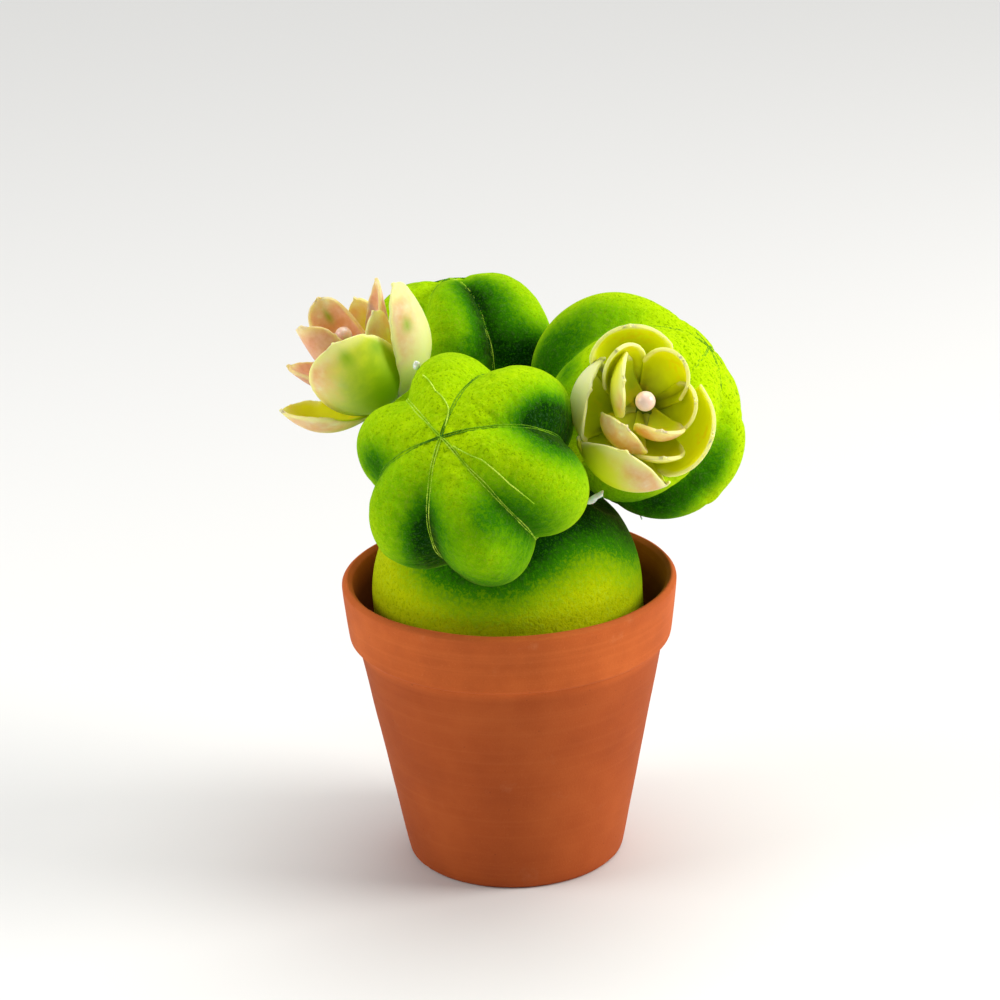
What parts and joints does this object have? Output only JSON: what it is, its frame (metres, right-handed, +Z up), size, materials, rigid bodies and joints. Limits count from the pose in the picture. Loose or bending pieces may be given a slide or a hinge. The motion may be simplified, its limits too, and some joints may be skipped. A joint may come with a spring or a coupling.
{
  "type": "potted mammillaria decoration",
  "caption": "Souvenir mammillaria of tied, stuffed cloth balls with soft plastic blooms, standing on a cloth mound in a small terracotta pot.",
  "frame": {"origin": "middle of the whole object's box on the ground; the pot's axis is 1.9 mm towards -X of it", "axes": "+Z up along the pot's axis, -Y towards the front ball, +X towards the right ball and its bloom"},
  "size_m": [0.0974, 0.1066, 0.1327],
  "materials": {
    "terracotta": "unglazed fired clay, matte",
    "green_cloth": "flocked plush, sprayed darker green in the creases",
    "green_thread": "sewing thread",
    "peg": "plain grey peg",
    "petal_green": "soft plastic, satin, green shading to cream and pink",
    "petal_olive": "soft plastic, satin, olive with pale edges",
    "petal_pink": "soft plastic, satin, salmon shading to green",
    "bead": "pearly pink plastic"
  },
  "bodies": {
    "root": {"pot": "terracotta", "base_mound": "green_cloth", "head_front": "green_cloth", "head_front_threads": "green_thread", "stem_front": "peg", "head_right": "green_cloth", "head_right_threads": "green_thread", "stem_right": "peg", "head_back": "green_cloth", "head_back_threads": "green_thread", "stem_back": "peg", "flower_right_petals_outer": "petal_green", "flower_right_petals_middle": "petal_olive", "flower_right_petals_inner": "petal_pink", "flower_right_pin": "bead", "flower_left_petals_outer": "petal_green", "flower_left_petals_middle": "petal_olive", "flower_left_petals_inner": "petal_pink", "flower_left_pin": "bead"}
  },
  "joints": []
}
